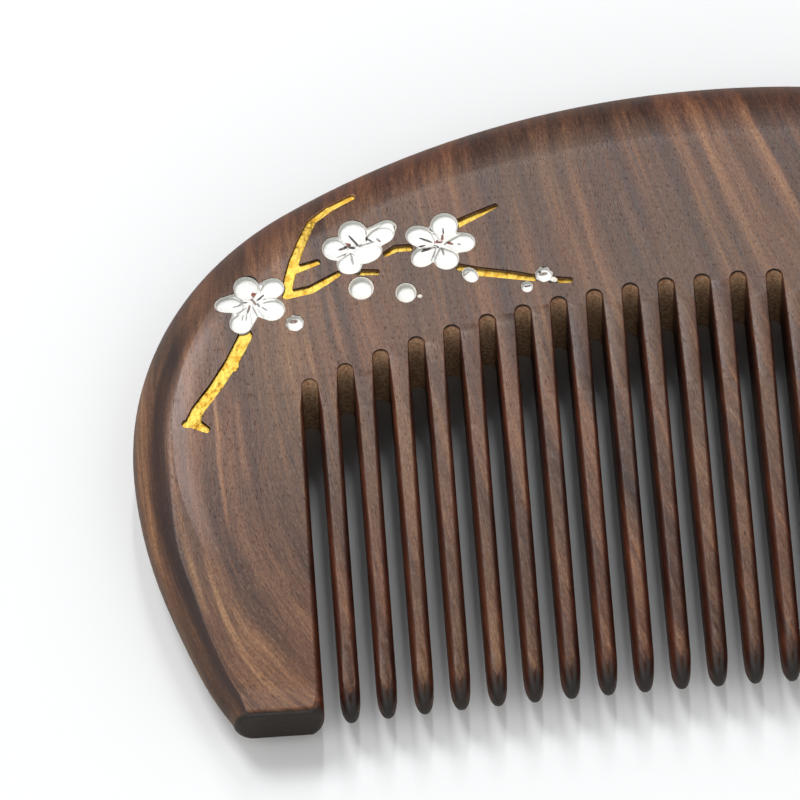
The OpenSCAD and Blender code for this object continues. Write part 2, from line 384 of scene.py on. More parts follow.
# The recesses. A plum branch is milled into the face a little over half a millimetre deep, a
# shape for each stretch of twig, each blossom and each bud. Each twig is a row of spots, and
# side twigs are rows of their own. Columns: along X, along Y, width.
recess_depth = 0.72
recess_play = 0.03
twigs = {
    "stem": [[(-45.1, 6.0, 1.3), (-46.5, 3.3, 1.25), (-48.2, 0.7, 1.2), (-49.9, -1.5, 1.2),
              (-50.3, -2.5, 1.4)],
             [(-51.0, -2.8, 0.8), (-50.3, -2.7, 1.2), (-49.2, -3.5, 0.75)],
             [(-46.35, 3.1, 1.0), (-46.3, 2.6, 0.6)]],
    "fork": [[(-41.1, 10.0, 0.9), (-40.8, 11.7, 1.0), (-40.2, 13.6, 1.0), (-39.3, 16.0, 0.95),
              (-38.4, 18.1, 0.9), (-36.7, 19.5, 0.95), (-34.6, 20.6, 0.85)],
             [(-40.6, 12.5, 0.9), (-38.1, 13.3, 0.6)],
             [(-41.1, 10.0, 0.9), (-38.9, 10.4, 0.9), (-37.5, 11.2, 0.8), (-36.3, 11.9, 0.6)]],
    "spur_twig": [[(-34.4, 11.9, 0.65), (-32.8, 11.8, 0.6)]],
    "link_twig": [[(-31.8, 13.7, 0.6), (-30.9, 14.2, 0.75), (-29.7, 14.2, 0.75)]],
    "upper_twig": [[(-25.2, 16.4, 0.9), (-23.1, 17.35, 0.75), (-21.5, 18.1, 0.45)]],
    "long_twig": [[(-25.3, 11.8, 0.7), (-23.5, 11.15, 0.95), (-20.5, 10.55, 0.9),
                   (-18.4, 10.05, 0.7)]],
    "end_twig": [[(-16.9, 9.75, 0.75), (-15.3, 9.6, 0.6)]],
}
# Columns of petals and buds: along X, along Y, length, width, turn in degrees, bowl's depth.
# Each blossom's own middle stands first. The part of a bud that has no bowl is a flat lip.
blossoms = {
    "blossom_1": ((-44.4, 9.6), [
        (-44.75, 11.3, 2.45, 2.4, 100, 0.42), (-42.35, 10.85, 2.2, 2.15, 40, 0.42),
        (-42.5, 8.55, 2.35, 2.45, -35, 0.4), (-45.4, 7.35, 2.3, 2.2, -115, 0.42),
        (-46.4, 9.5, 2.7, 2.0, 178, 0.4)]),
    "blossom_2": ((-34.9, 14.5), [
        (-34.7, 16.2, 2.75, 2.75, 90, 0.42), (-36.45, 14.6, 2.35, 2.55, 15, 0.42),
        (-35.2, 12.85, 2.2, 2.4, -95, 0.36), (-33.5, 13.87, 3.0, 2.0, 25, 0.3),
        (-32.15, 15.75, 2.7, 2.05, 20, 0.4), (-31.45, 16.6, 1.7, 1.45, -25, 0.3)]),
    "blossom_3": ((-26.9, 14.45), [
        (-28.6, 15.35, 2.75, 2.3, -25, 0.42), (-28.45, 13.15, 2.5, 2.1, 45, 0.4),
        (-26.35, 12.75, 2.35, 2.4, -80, 0.42), (-26.3, 16.4, 2.6, 2.55, 75, 0.42),
        (-24.7, 14.4, 2.3, 2.15, 0, 0.4)]),
}
petal_foot = 2.6
# Each bud's number of sides, which follows its own shape, stands first
buds = {
    "bud_1": (24, [(-34.3, 10.2, 2.35, 2.5, 0, 0.5)]),
    "bud_2": (24, [(-30.26, 9.4, 1.95, 2.15, 0, 0.5), (-29.02, 8.95, 0.5, 0.45, 0, None)]),
    "bud_3": (8, [(-40.55, 6.95, 1.75, 1.8, 10, 0.38)]),
    "bud_4": (16, [(-24.3, 10.85, 1.4, 1.8, 35, 0.34)]),
    "bud_5": (14, [(-19.23, 9.2, 1.15, 1.25, 0, 0.34)]),
    "bud_6": (7, [(-17.6, 10.4, 1.7, 1.75, 20, 0.36), (-16.75, 9.8, 0.8, 0.6, -30, None)]),
}
bare_comb = BVHTree.FromObject(comb, bpy.context.evaluated_depsgraph_get())
well_above = 20


def face_height(x, y, reach=0):
    """Height of the bare front at a place, or its lowest within a reach of the place."""
    heights = []
    for turned in range(0, 360, 45):
        place = Vector((x + reach * cos(radians(turned)), y + reach * sin(radians(turned)),
                        well_above))
        heights.append(bare_comb.ray_cast(place, Vector((0, 0, -1)))[0].z)
    return min(heights)


def post(spot, bottom, top, wider=0, foot_wider=0, sides=20):
    """Adds an upright oval post through the face at a spot, its foot narrower if need be."""
    x, y, length, width, turned = spot[:5]
    height = face_height(x, y, min(length, width) / 2)
    mean_size = (length + width) / 2
    bpy.ops.mesh.primitive_cone_add(
        vertices=sides, radius1=1 + (wider + foot_wider) / mean_size,
        radius2=1 + wider / mean_size,
        depth=top - bottom, location=(x, y, height + (top + bottom) / 2),
        rotation=(0, 0, radians(turned)), scale=(length / 2, width / 2, 1))


def span(spots, bottom, top, **shape):
    """One solid that spans posts at several spots."""
    post(spots[0], bottom, top, **shape)
    solid = bpy.context.object
    settle(solid)
    if len(spots) > 1:
        edit(solid)
        for spot in spots[1:]:
            post(spot, bottom, top, **shape)
        select_mesh()
        bpy.ops.mesh.convex_hull()
        bpy.ops.object.mode_set(mode="OBJECT")
    return solid


def twig_spans(lines, bottom, top, **shape):
    """Solids along the lines of a twig, one between each spot and the next."""
    for line in lines:
        for (x, y, width), (next_x, next_y, next_width) in zip(line, line[1:]):
            yield span([(x, y, width, width, 0), (next_x, next_y, next_width, next_width, 0)],
                       bottom, top, **shape)


def petal_spans(middle, petals, bottom, top, **shape):
    """Solids from a blossom's middle out to each of its petals."""
    foot = (middle[0], middle[1], petal_foot, petal_foot, 0)
    for petal in petals:
        yield span([petal, foot], bottom, top, **shape)


def shrink_to_metres(piece, smooth_up_to):
    """Turns a piece's millimetres into the frame's metres, and smooths its flatter edges."""
    piece.scale = (mm, mm, mm)
    settle(piece)
    bpy.ops.object.shade_smooth_by_angle(angle=smooth_up_to)


above_face = 1.0
cutting = {"bottom": -recess_depth, "top": above_face, "wider": recess_play}
recess_tools = []
for lines in twigs.values():
    recess_tools += twig_spans(lines, **cutting)
for middle_place, petals in blossoms.values():
    recess_tools += petal_spans(middle_place, petals, **cutting)
for sides, spots in buds.values():
    recess_tools += [span([spot], sides=sides, **cutting) for spot in spots]


def carve(piece, tool):
    """Cuts a tool's shape out of a piece and throws the tool away."""
    finish_with(piece, "BOOLEAN", operation="DIFFERENCE", solver="MANIFOLD", object=tool)
    bpy.data.objects.remove(tool)


for tool in recess_tools:
    carve(comb, tool)

# The teeth. 25 saw slots with round ends are cut between two wide guard teeth. Each tooth is
# softened along its edges, more so towards its tip, and ends in a bullet-shaped point.
# One cutter is made, copied along the comb, and all copies are drawn out towards the tips.
pitch = 3.3
slot_width = 1.46
slots = 25
slot_end_arc = 94
tips_y = -30.3
tips_arc = 570
tip_length = 2.6
edge_at_root = 0.09
edge_at_tip = 0.66
depth_at_root = 0.4
depth_at_tip = 1.6
softening_growth = 0.7
edge_steps = [0, 22, 43, 61, 75, 86]
edge_last = radians(edge_steps[-1])
flare_rise = 0.12
flare_width = 1.36
cutter_reach = 1.2
guard_corner = 1.2
bit_points = 32

# Columns: face (-1 back, 1 front), share of the softening's depth and of its width there.
# Past the face the cutter flares a little further, and then goes straight on.
levels = [(1, 1 - sin(radians(a)) / sin(edge_last), (1 - cos(radians(a))) / (1 - cos(edge_last)))
          for a in edge_steps]
levels.append((1, -flare_rise, flare_width))
levels.append((1, None, flare_width))
levels = [(-1, depth, wide) for face, depth, wide in reversed(levels)] + levels


def slot_x(number):
    """Place of a slot's middle along X, with the slots numbered from the left."""
    return (number - (slots - 1) / 2) * pitch


def slot_end(x):
    """Place of a slot's round end, on an arc below the spine."""
    return slot_end_y - x * x / (2 * slot_end_arc)


def tooth_tip_shift(x):
    """How far the arc of the tips lies behind its middle."""
    return -x * x / (2 * tips_arc)


straight_end = tips_y + tip_length


def run_share(y):
    """How far the softening has grown between the slots' ends, 0, and the tips, 1."""
    return max(0, min(1, (slot_end_y - y) / (slot_end_y - straight_end))) ** softening_growth


def level_height(level, y):
    """Height of one level of the slot's wall."""
    face, depth, wide = levels[level]
    face_z = front_z(y) if face == 1 else back_z(y)
    if depth is None:
        return face_z + face * cutter_reach
    return face_z - face * depth * mix(depth_at_root, depth_at_tip, run_share(y))


def level_half(level, y):
    """Half of the slot's width at one level."""
    return slot_width / 2 + levels[level][2] * mix(edge_at_root, edge_at_tip, run_share(y))


first_x = slot_x(0)
first_end = slot_end(first_x) - slot_width / 2
root_y = slot_end_y
bpy.ops.mesh.primitive_circle_add(vertices=bit_points, radius=level_half(0, root_y),
                                  fill_type="NGON",
                                  location=(first_x, first_end, level_height(0, root_y)))
cutter = bpy.context.object
cutter.name = "slot_cutter"
settle(cutter)
edit(cutter)
select_mesh()
for level in range(1, len(levels)):
    grown = level_half(level, root_y) / level_half(level - 1, root_y)
    bpy.ops.mesh.extrude_region()
    resize(grown, grown, 1, (first_x, first_end, 0))
    move(0, 0, level_height(level, root_y) - level_height(level - 1, root_y))
select_mesh()
bpy.ops.mesh.bisect(plane_co=(0, first_end, 0), plane_no=(0, 1, 0), clear_inner=True,
                    use_fill=False, threshold=near)
bm = bmesh.from_edit_mesh(cutter.data)
level_of = bm.verts.layers.int.new("level")
for v in bm.verts:
    gaps = [abs(v.co.z - level_height(level, root_y)) for level in range(len(levels))]
    v[level_of] = gaps.index(min(gaps))
bmesh.update_edit_mesh(cutter.data)
select_mesh()
for number in range(1, slots):
    bpy.ops.mesh.duplicate()
    move(pitch, slot_end(slot_x(number)) - slot_end(slot_x(number - 1)), 0)


def is_guard_side(x):
    """True outside the middles of the two outermost slots."""
    return abs(x) > slot_x(slots - 1)


def wall_side(x):
    """Which wall of its slot a place belongs to: -1 the left one, 1 the right one."""
    number = max(0, min(slots - 1, round(x / pitch + (slots - 1) / 2)))
    return 1 if x > slot_x(number) else -1


def level_places(level, y, tip_share, guard):
    """Half width and height of a level at a station, on a tooth or on a guard tooth."""
    half_there = level_half(level, y)
    height = level_height(level, y)
    if guard:
        turned = max(0, min(1, (end_y + guard_corner - y) / guard_corner))
        return half_there + guard_corner * (1 - sqrt(1 - turned * turned)), height
    tooth_half = (pitch / 2 - half_there) * tip_share
    if levels[level][1] is not None:
        tooth_middle = (front_z(y) + back_z(y)) / 2
        height = tooth_middle + (height - tooth_middle) * tip_share
    return pitch / 2 - tooth_half, height


last_open = end_y - 2
first_station = -2
wall_steps = 9
tip_shares = (0.3, 0.52, 0.7, 0.83, 0.92, 0.97, 0.993)
corner_shares = (0.05, 0.35, 0.6, 0.8, 0.93, 1)
# Columns: place along the teeth, and the share of a tooth's section that is left there
wall_stations = [(mix(first_station, straight_end, i / wall_steps), 1)
                 for i in range(wall_steps + 1)]
tip_stations = [(straight_end - s * tip_length, sqrt(1 - s * s)) for s in tip_shares]
thin = tip_stations[-1][1]
corner_stations = [(end_y + guard_corner * (1 - s), thin) for s in corner_shares]
stations = wall_stations + tip_stations + corner_stations + [(last_open, thin)]
pick("EDGE", lambda e: e.is_boundary)
before_y = root_y
before_share = 1
for y, tip_share in stations:
    bpy.ops.mesh.extrude_region()
    resize(1, 0, 1, (0, y, 0))
    ring = picked_vertices()
    for level in range(len(levels)):
        for side in (-1, 1):
            for guard in (False, True):
                half_before, height_before = level_places(level, before_y, before_share, guard)
                half_now, height_now = level_places(level, y, tip_share, guard)
                pick("VERT", lambda v: v[level_of] == level and wall_side(v.co.x) == side
                     and is_guard_side(v.co.x) == guard, ring)
                move(side * (half_now - half_before), 0, height_now - height_before)
    pick("VERT", lambda v: True, ring)
    before_y = y
    before_share = tip_share
select_mesh()
bpy.ops.mesh.fill_holes(sides=0)
for number in range(slots - 1):
    tooth_x = slot_x(number) + pitch / 2
    pick("VERT", lambda v: abs(v.co.x - tooth_x) < pitch / 2 and v.co.y < straight_end + near)
    move(0, tooth_tip_shift(tooth_x), 0)
end_editing()

# What is taken off beyond the tips, rounded between front and back
tip_half = (front_z(straight_end) - back_z(straight_end)) / 2
tip_middle = (front_z(straight_end) + back_z(straight_end)) / 2
tips_start = straight_end + tooth_tip_shift(first_x)
tip_sections = 48
tip_points = 48
past_tips = last_open - 1
bpy.ops.mesh.primitive_circle_add(vertices=tip_points, radius=1, rotation=(0, pi / 2, 0),
                                  location=(first_x, tips_start, tip_middle))
beyond = bpy.context.object
beyond.name = "tip_cutter"
beyond.scale = (tip_half, tip_length, 1)
settle(beyond)
edit(beyond)
pick("VERT", lambda v: v.co.y > tips_start + near)
bpy.ops.mesh.delete(type="VERT")
for side in (-1, 1):
    pick("VERT", lambda v: (v.co.z - tip_middle) * side > tip_half - near)
    bpy.ops.mesh.extrude_region()
    move(0, 0, side * body_thickness)
select_mesh()
bpy.ops.mesh.extrude_region()
resize(1, 0, 1, (0, past_tips, 0))
select_mesh()
for section in range(tip_sections):
    x = mix(first_x, -first_x, section / tip_sections)
    x_next = mix(first_x, -first_x, (section + 1) / tip_sections)
    bpy.ops.mesh.extrude_region()
    move(x_next - x, tooth_tip_shift(x_next) - tooth_tip_shift(x), 0)
end_editing()

# The cuts leave needless edges behind, which are cleared away
flat_within = radians(0.05)
largest_hole = 6
wood_smooth_up_to = radians(60)
carve(comb, cutter)
carve(comb, beyond)
edit(comb)
select_mesh()
bpy.ops.mesh.remove_doubles(threshold=2 * near)
bpy.ops.mesh.dissolve_degenerate(threshold=near)
select_mesh()
bpy.ops.mesh.fill_holes(sides=largest_hole)
select_mesh()
bpy.ops.mesh.dissolve_limited(angle_limit=flat_within)
shrink_to_metres(comb, wood_smooth_up_to)
finish_with(comb, "WEIGHTED_NORMAL", keep_sharp=True, weight=80)

# The wood's grain. Colour bands run along the teeth and lean to the right towards the middle
# of the comb; on the left guard tooth they curve outwards. Lengths here are in millimetres.
# Columns of the turns: from and to along X, and how much more the grain leans past them
grain_turns = [(-50, -38, 0.14), (-25, 2, 0.18)]
guard_bend_y = -7
guard_bend = 0.0088
guard_bend_fades = (-40.4, -38.9)
board_slant = 0.3
# Sizes across the grain, along it and through the board
wander_size = (7, 22, 12)
shiver_size = (0.8, 5, 3)
band_size = (2.6, 60, 9)
streak_size = (0.75, 28, 2.5)
fibre_size = (0.17, 5, 0.5)
mottle_size = (0.16, 0.3, 0.2)
patch_size = (9, 16, 9)
fleck_size = (0.08, 1.0, 0.1)
pore_size = (0.08, 0.55, 0.1)
sawn_size = (0.28, 0.28, 0.28)
middle_tone = 0.44
sheen_paling_at_ends = 0.07
# Columns of the light streaks: place across the grain, half width, low end, high end, strength
light_streaks = [
    (5.4, 1.0, 4, 34, 0.16), (10.8, 0.8, 13, 34, 0.14), (-5.5, 0.5, 7, 21, 0.15),
    (-36.0, 0.6, 1, 13, 0.25), (-28.1, 0.5, 0, 10, 0.22), (-40.0, 0.5, -1, 9, 0.18),
    (-48.3, 0.3, -15, 3, 0.28), (-46.3, 0.4, -11, 2, 0.26), (-50.75, 0.4, -33, -15, 0.26),
    (-52.2, 0.5, -24, -13, 0.2),
]
streak_fades_over = 4


def grain(tree, place, lengths, detail=2):
    """Noise drawn out to given lengths across the grain, along it and through the board."""
    scaled = node(tree, "VectorMath", {0: place, 1: [1 / length for length in lengths]},
                  operation="MULTIPLY").outputs[0]
    return node(tree, "TexNoise", {"Vector": scaled, "Scale": 1, "Detail": detail}).outputs[0]


def about_half(tree, value, gain):
    """A noise's swing about its middle, times a gain."""
    return reckon(tree, "MULTIPLY", reckon(tree, "SUBTRACT", value, 0.5), gain)


def total(tree, *values):
    """Sum of several outputs or numbers."""
    summed = values[0]
    for value in values[1:]:
        summed = reckon(tree, "ADD", summed, value)
    return summed


def between(tree, value, first_edge, last_edge):
    """1 where a value lies between two soft edges, each given from outside to inside."""
    return times(tree, fade(tree, value, *first_edge), fade(tree, value, *last_edge))


def normal_parts(tree, kind="Normal"):
    """The surface's own direction along X, Y and Z."""
    return node(tree, "SeparateXYZ", {0: node(tree, "NewGeometry").outputs[kind]}).outputs


def roughen(tree, shader, height, strength, depth):
    """Makes a surface look uneven by an output that gives its height."""
    bump = node(tree, "Bump", {"Height": height, "Strength": strength, "Distance": depth * mm})
    tree.links.new(bump.outputs[0], shader.inputs["Normal"])


wood, tree, wood_shader = new_material("dark wood")
place = node(tree, "VectorMath", {0: node(tree, "TexCoord").outputs["Object"], "Scale": 1 / mm},
             operation="SCALE").outputs[0]
x, y, z = node(tree, "SeparateXYZ", {0: place}).outputs
from_middle = reckon(tree, "ABSOLUTE", x)
lean = total(tree, *[fade(tree, x, start, end, 0, slope) for start, end, slope in grain_turns])
below = reckon(tree, "MAXIMUM", reckon(tree, "SUBTRACT", guard_bend_y, y), 0)
bend = times(tree, reckon(tree, "POWER", below, 2),
             fade(tree, x, *guard_bend_fades, guard_bend, 0))
across = reckon(tree, "SUBTRACT", total(tree, x, times(tree, lean, y)), bend)
wander = about_half(tree, grain(tree, place, wander_size), 1.8)
shiver = about_half(tree, grain(tree, place, shiver_size), 0.16)
ring = total(tree, across, wander, shiver, times(tree, z, board_slant))
rings = node(tree, "CombineXYZ", {0: ring, 1: y, 2: z}).outputs[0]
bands = grain(tree, rings, band_size)
streaks = grain(tree, rings, streak_size)
fibres = grain(tree, rings, fibre_size)
mottle = grain(tree, place, mottle_size, 1)
# The wood is painted paler towards both ends, a painted sheen
painted_sheen_at_ends = fade(tree, from_middle, 14, 42, 0, sheen_paling_at_ends)
figure = total(tree, middle_tone, about_half(tree, bands, 1.0), about_half(tree, streaks, 0.7),
               about_half(tree, fibres, 0.55), about_half(tree, mottle, 0.4), painted_sheen_at_ends)
for streak_across, half_width, low_end, high_end, strength in light_streaks:
    off = reckon(tree, "ABSOLUTE", total(tree, across, shiver, -streak_across))
    along = between(tree, y, (low_end, low_end + streak_fades_over),
                    (high_end, high_end - streak_fades_over))
    light_streak = times(tree, fade(tree, off, half_width, 0.2 * half_width), along, strength)
    figure = total(tree, figure, light_streak)
wood_colour = node(tree, "ValToRGB", {0: figure})
# Columns: figure, colour
stops = [(0.0, tone(44, 28, 22)), (0.3, tone(74, 49, 36)), (0.52, tone(99, 70, 51)),
         (0.75, tone(132, 98, 71)), (1.0, tone(170, 136, 100))]
while len(wood_colour.color_ramp.elements) < len(stops):
    wood_colour.color_ramp.elements.new(0.5)
for element, (position, colour) in zip(wood_colour.color_ramp.elements, stops):
    element.position = position
    element.color = colour
wood_colour = wood_colour.outputs[0]

# Patches of redder and greyer wood, light flecks along the fibres painted as glints, and the dark
# open pores
greyer_wood = tone(154, 146, 130)
redder_wood = tone(180, 132, 106)
glint_fleck_tone = tone(178, 154, 130)
pore_tone = tone(44, 24, 20)
redness = fade(tree, grain(tree, place, patch_size), 0.35, 0.65)
patches = tint(tree, redness, greyer_wood, redder_wood)
wood_colour = tint(tree, 0.35, wood_colour, patches, "SOFT_LIGHT")
glint_flecks = fade(tree, grain(tree, rings, fleck_size, 1), 0.58, 0.74)
wood_colour = tint(tree, times(tree, glint_flecks, 0.18), wood_colour, glint_fleck_tone)
pores = fade(tree, grain(tree, rings, pore_size, 0), 0.34, 0.22)
wood_colour = tint(tree, times(tree, pores, 0.4), wood_colour, pore_tone)

# Polished end grain has drunk the oil. Every face turned towards the tips, on the tips and on the
# guard teeth's ends, is painted nearly black, partly that dark end grain and partly painted shade.
# The spine, end grain too, is painted darker and warmer, partly its own colour and partly painted
# shade.
tip_end_grain_and_shade_tone = tone(16, 9, 8)
spine_colour_and_shade_tone = tone(180, 118, 82)
facing_side, facing_spine, facing_up = normal_parts(tree)
facing_tips = times(tree, facing_spine, -1)
wood_colour = tint(tree, fade(tree, facing_tips, 0.12, 0.75, 0, 0.97), wood_colour, tip_end_grain_and_shade_tone)
wood_colour = tint(tree, fade(tree, facing_spine, 0.1, 0.6, 0, 0.75), wood_colour, spine_colour_and_shade_tone,
                   "MULTIPLY")

# The teeth's sides are painted darker by how far they face sideways, as painted shade between the
# teeth, and it fades out over their softened edges
outer_from = 42
side_shade_tone = tone(176, 122, 102)
among_teeth = fade(tree, from_middle, outer_from + 1, outer_from)
beside_teeth = reckon(tree, "SUBTRACT", 1, among_teeth)
arc_drop = reckon(tree, "DIVIDE", reckon(tree, "POWER", x, 2), 2 * slot_end_arc)
from_end = reckon(tree, "SUBTRACT", slot_end_y, total(tree, y, arc_drop))
sideways = reckon(tree, "ABSOLUTE", normal_parts(tree, "True Normal")[0])
shaded_sides = times(tree, among_teeth, fade(tree, from_end, 0, slot_width),
                  fade(tree, sideways, 0.1, 0.8))
wood_colour = tint(tree, times(tree, shaded_sides, 0.9), wood_colour, side_shade_tone, "MULTIPLY")

# Round the ends of the comb a dark line is painted just outside the crease, partly the wood's own
# dark line and partly painted shade; below the widest place it is wider and darker, painted shade on
# the rounding there. Inside the crease a bright line is painted, a painted sheen. The dark lines go
# by how far the edge has turned from facing up, 1, and the bright one by the difference of two
# squared distances.
dark_line_turns = ((0.955, 0.9), (0.76, 0.84))
shade_below_widest_turns = ((0.98, 0.93), (0.6, 0.82))
painted_sheen_edges = ((-110, -40), (0, -6))
dark_line_starts = (13, 4)
shade_below_widest_starts = (2, -12)
painted_sheen_ends = ((-18, -8), (13, 3))
rim_colour_and_shade_tone = tone(126, 86, 68)
painted_sheen_tone = tone(176, 152, 146)
dark_line = times(tree, between(tree, facing_up, *dark_line_turns),
                  fade(tree, y, *dark_line_starts))
shade_below_widest = times(tree, between(tree, facing_up, *shade_below_widest_turns),
                  fade(tree, y, *shade_below_widest_starts))
on_edge = fade(tree, reckon(tree, "ABSOLUTE", facing_side), 0.15, 0.3)
dark_line = times(tree, beside_teeth, on_edge, reckon(tree, "MAXIMUM", dark_line, shade_below_widest))
wood_colour = tint(tree, times(tree, dark_line, 0.95), wood_colour, rim_colour_and_shade_tone, "MULTIPLY")
end_arc_x, end_arc_y = arc_centres[1].xy
crease_radius = outline[1][0] - outline[1][3]
arc_x = reckon(tree, "SUBTRACT", from_middle, end_arc_x)
arc_y = reckon(tree, "SUBTRACT", y, end_arc_y)
from_crease = total(tree, reckon(tree, "POWER", arc_x, 2), reckon(tree, "POWER", arc_y, 2),
                    -crease_radius ** 2)
# The bright line is a painted sheen
painted_sheen_line = times(tree, beside_teeth, between(tree, from_crease, *painted_sheen_edges),
                    between(tree, y, *painted_sheen_ends))
wood_colour = tint(tree, times(tree, painted_sheen_line, 0.3), wood_colour, painted_sheen_tone)

# The slots' ends are bare sawn wood, dusty and rough, end grain all over. They are painted paler than
# the faces, partly the end grain's own colour and partly painted light on these dimly lit walls, and
# a little darker near the face as painted shade.
sawn_dark = tone(210, 162, 122)
sawn_pale_and_lit = tone(255, 222, 182)
shade_near_face = tone(176, 140, 130)
sawn = times(tree, among_teeth, fade(tree, from_end, slot_width, 0.6 * slot_width),
             fade(tree, facing_tips, 0.1, 0.5),
             fade(tree, z, body_thickness - 0.1, body_thickness - 0.5))
end_grain = grain(tree, place, sawn_size)
sawn_colour = tint(tree, fade(tree, end_grain, 0.35, 0.65), sawn_dark, sawn_pale_and_lit)
sawn_colour = tint(tree, fade(tree, z, body_thickness - 2.2, body_thickness, 0, 0.6), sawn_colour,
                   shade_near_face, "MULTIPLY")
wood_colour = tint(tree, sawn, wood_colour, sawn_colour)
tree.links.new(wood_colour, wood_shader.inputs["Base Color"])
polish = total(tree, 0.42, about_half(tree, fibres, 0.3), about_half(tree, bands, 0.12),
               times(tree, pores, 0.25), times(tree, sawn, 0.4))
tree.links.new(polish, wood_shader.inputs["Roughness"])
relief = total(tree, about_half(tree, fibres, 0.5), times(tree, pores, -1),
               about_half(tree, times(tree, end_grain, sawn), 2))
roughen(tree, wood_shader, relief, 0.35, 0.03)
paint(comb, wood)

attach(comb, "root")
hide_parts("comb")

# The gold twigs. The floor of each channel is covered with gold leaf paint, which lies uneven,
# and the channel's walls stay bare. Each is a flat filling of the lower part of its recess,
# made of short spans and softened.
filling_gap = 0.02
gold_top = -0.38
wide_twig_top = -0.25
gold_unevenness = 0.07
gold_lump = 0.3
softening_voxel = 0.05
paint_smooth_up_to = radians(38)


def join_solids(solids):
    """Melts several overlapping solids into the first one."""
    solids = list(solids)
    for other in solids[1:]:
        finish_with(solids[0], "BOOLEAN", operation="UNION", solver="MANIFOLD", object=other)
        bpy.data.objects.remove(other)
    return solids[0]


def uneven(piece, strength, grain_size):
    """Gives a piece's surface a fine unevenness."""
    lumps = bpy.data.textures.new("lumps", "CLOUDS")
    lumps.noise_scale = grain_size
    lumps.noise_depth = 2
    finish_with(piece, "DISPLACE", texture=lumps, texture_coords="LOCAL", strength=strength)
    bpy.data.textures.remove(lumps)


def melt(piece):
    """Makes a piece's faces flow together, and thins them out again."""
    finish_with(piece, "REMESH", mode="VOXEL", voxel_size=softening_voxel)
    finish_with(piece, "SMOOTH", factor=0.5, iterations=2)
    finish_with(piece, "DECIMATE", ratio=0.5)


# Specks of dirt and small lumps, for both kinds of paint
uneven_paint = bpy.data.node_groups.new("uneven paint", "ShaderNodeTree")
for name in ("Lump Size", "Speck Size", "Speck Share"):
    uneven_paint.interface.new_socket(name, in_out="INPUT", socket_type="NodeSocketFloat")
for name in ("Lumps", "Specks"):
    uneven_paint.interface.new_socket(name, in_out="OUTPUT", socket_type="NodeSocketFloat")
tree = uneven_paint
given = tree.nodes.new("NodeGroupInput").outputs
put_out = tree.nodes.new("NodeGroupOutput").inputs
object_place = node(tree, "TexCoord").outputs["Object"]
for size, name in ((given["Lump Size"], "Lumps"), (given["Speck Size"], "Specks")):
    frequency = reckon(tree, "DIVIDE", 1 / mm, size)
    scaled = node(tree, "VectorMath", {0: object_place, "Scale": frequency}, operation="SCALE")
    spots = node(tree, "TexNoise", {"Vector": scaled.outputs[0], "Scale": 1, "Detail": 3}).outputs[0]
    if name == "Specks":
        least = reckon(tree, "SUBTRACT", 0.85, given["Speck Share"])
        spots = fade(tree, spots, least, reckon(tree, "ADD", least, 0.07))
    tree.links.new(spots, put_out[name])


def unevenness(tree, lump_size, speck_size, speck_share):
    """The lumps and specks of one kind of paint."""
    group = node(tree, "Group", node_tree=uneven_paint)
    group.inputs["Lump Size"].default_value = lump_size
    group.inputs["Speck Size"].default_value = speck_size
    group.inputs["Speck Share"].default_value = speck_share
    return group.outputs["Lumps"], group.outputs["Specks"]


leaf_dull = tone(164, 124, 42)
leaf_bright = tone(214, 180, 84)
leaf_in_wall_shade = tone(122, 78, 26)
leaf_dirt = tone(84, 54, 20)
gold, tree, gold_shader = new_material("gold paint")
lumps, specks = unevenness(tree, 0.7, 0.3, 0.12)
# The gold on the channels' walls is painted darker, as painted shade
floor_share = fade(tree, normal_parts(tree)[2], 0.55, 0.9)
leaf = tint(tree, fade(tree, lumps, 0.34, 0.6), leaf_dull, leaf_bright)
leaf = tint(tree, floor_share, leaf_in_wall_shade, leaf)
leaf = tint(tree, times(tree, specks, 0.6), leaf, leaf_dirt)
tree.links.new(leaf, gold_shader.inputs["Base Color"])
tree.links.new(fade(tree, specks, 0, 1, 0.85, 0.2), gold_shader.inputs["Metallic"])
tree.links.new(total(tree, 0.46, about_half(tree, lumps, 0.4), times(tree, specks, 0.3)),
               gold_shader.inputs["Roughness"])
roughen(tree, gold_shader, lumps, 0.6, 0.12)

# What lies over each twig, whose paint ends there
overlying = {"stem": ["blossom_1"], "fork": ["blossom_1", "blossom_2"],
             "spur_twig": ["blossom_2"], "link_twig": ["blossom_2", "blossom_3"],
             "upper_twig": ["blossom_3"], "long_twig": ["blossom_3", "bud_4", "bud_6"],
             "end_twig": ["bud_6"]}
through = {"bottom": -1, "top": above_face, "wider": 2 * recess_play}

for name, lines in twigs.items():
    top = wide_twig_top if name in ("stem", "fork") else gold_top
    twig = join_solids(twig_spans(lines, filling_gap - recess_depth, top))
    for cover in overlying[name]:
        if cover in blossoms:
            over_twig = petal_spans(*blossoms[cover], **through)
        else:
            over_twig = [span([spot], sides=buds[cover][0], **through) for spot in buds[cover][1]]
        for solid in over_twig:
            carve(twig, solid)
    melt(twig)
    uneven(twig, gold_unevenness, gold_lump)
    twig.name = name + "_paint"
    shrink_to_metres(twig, paint_smooth_up_to)
    paint(twig, gold)
    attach(twig, "root")
    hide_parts(name)

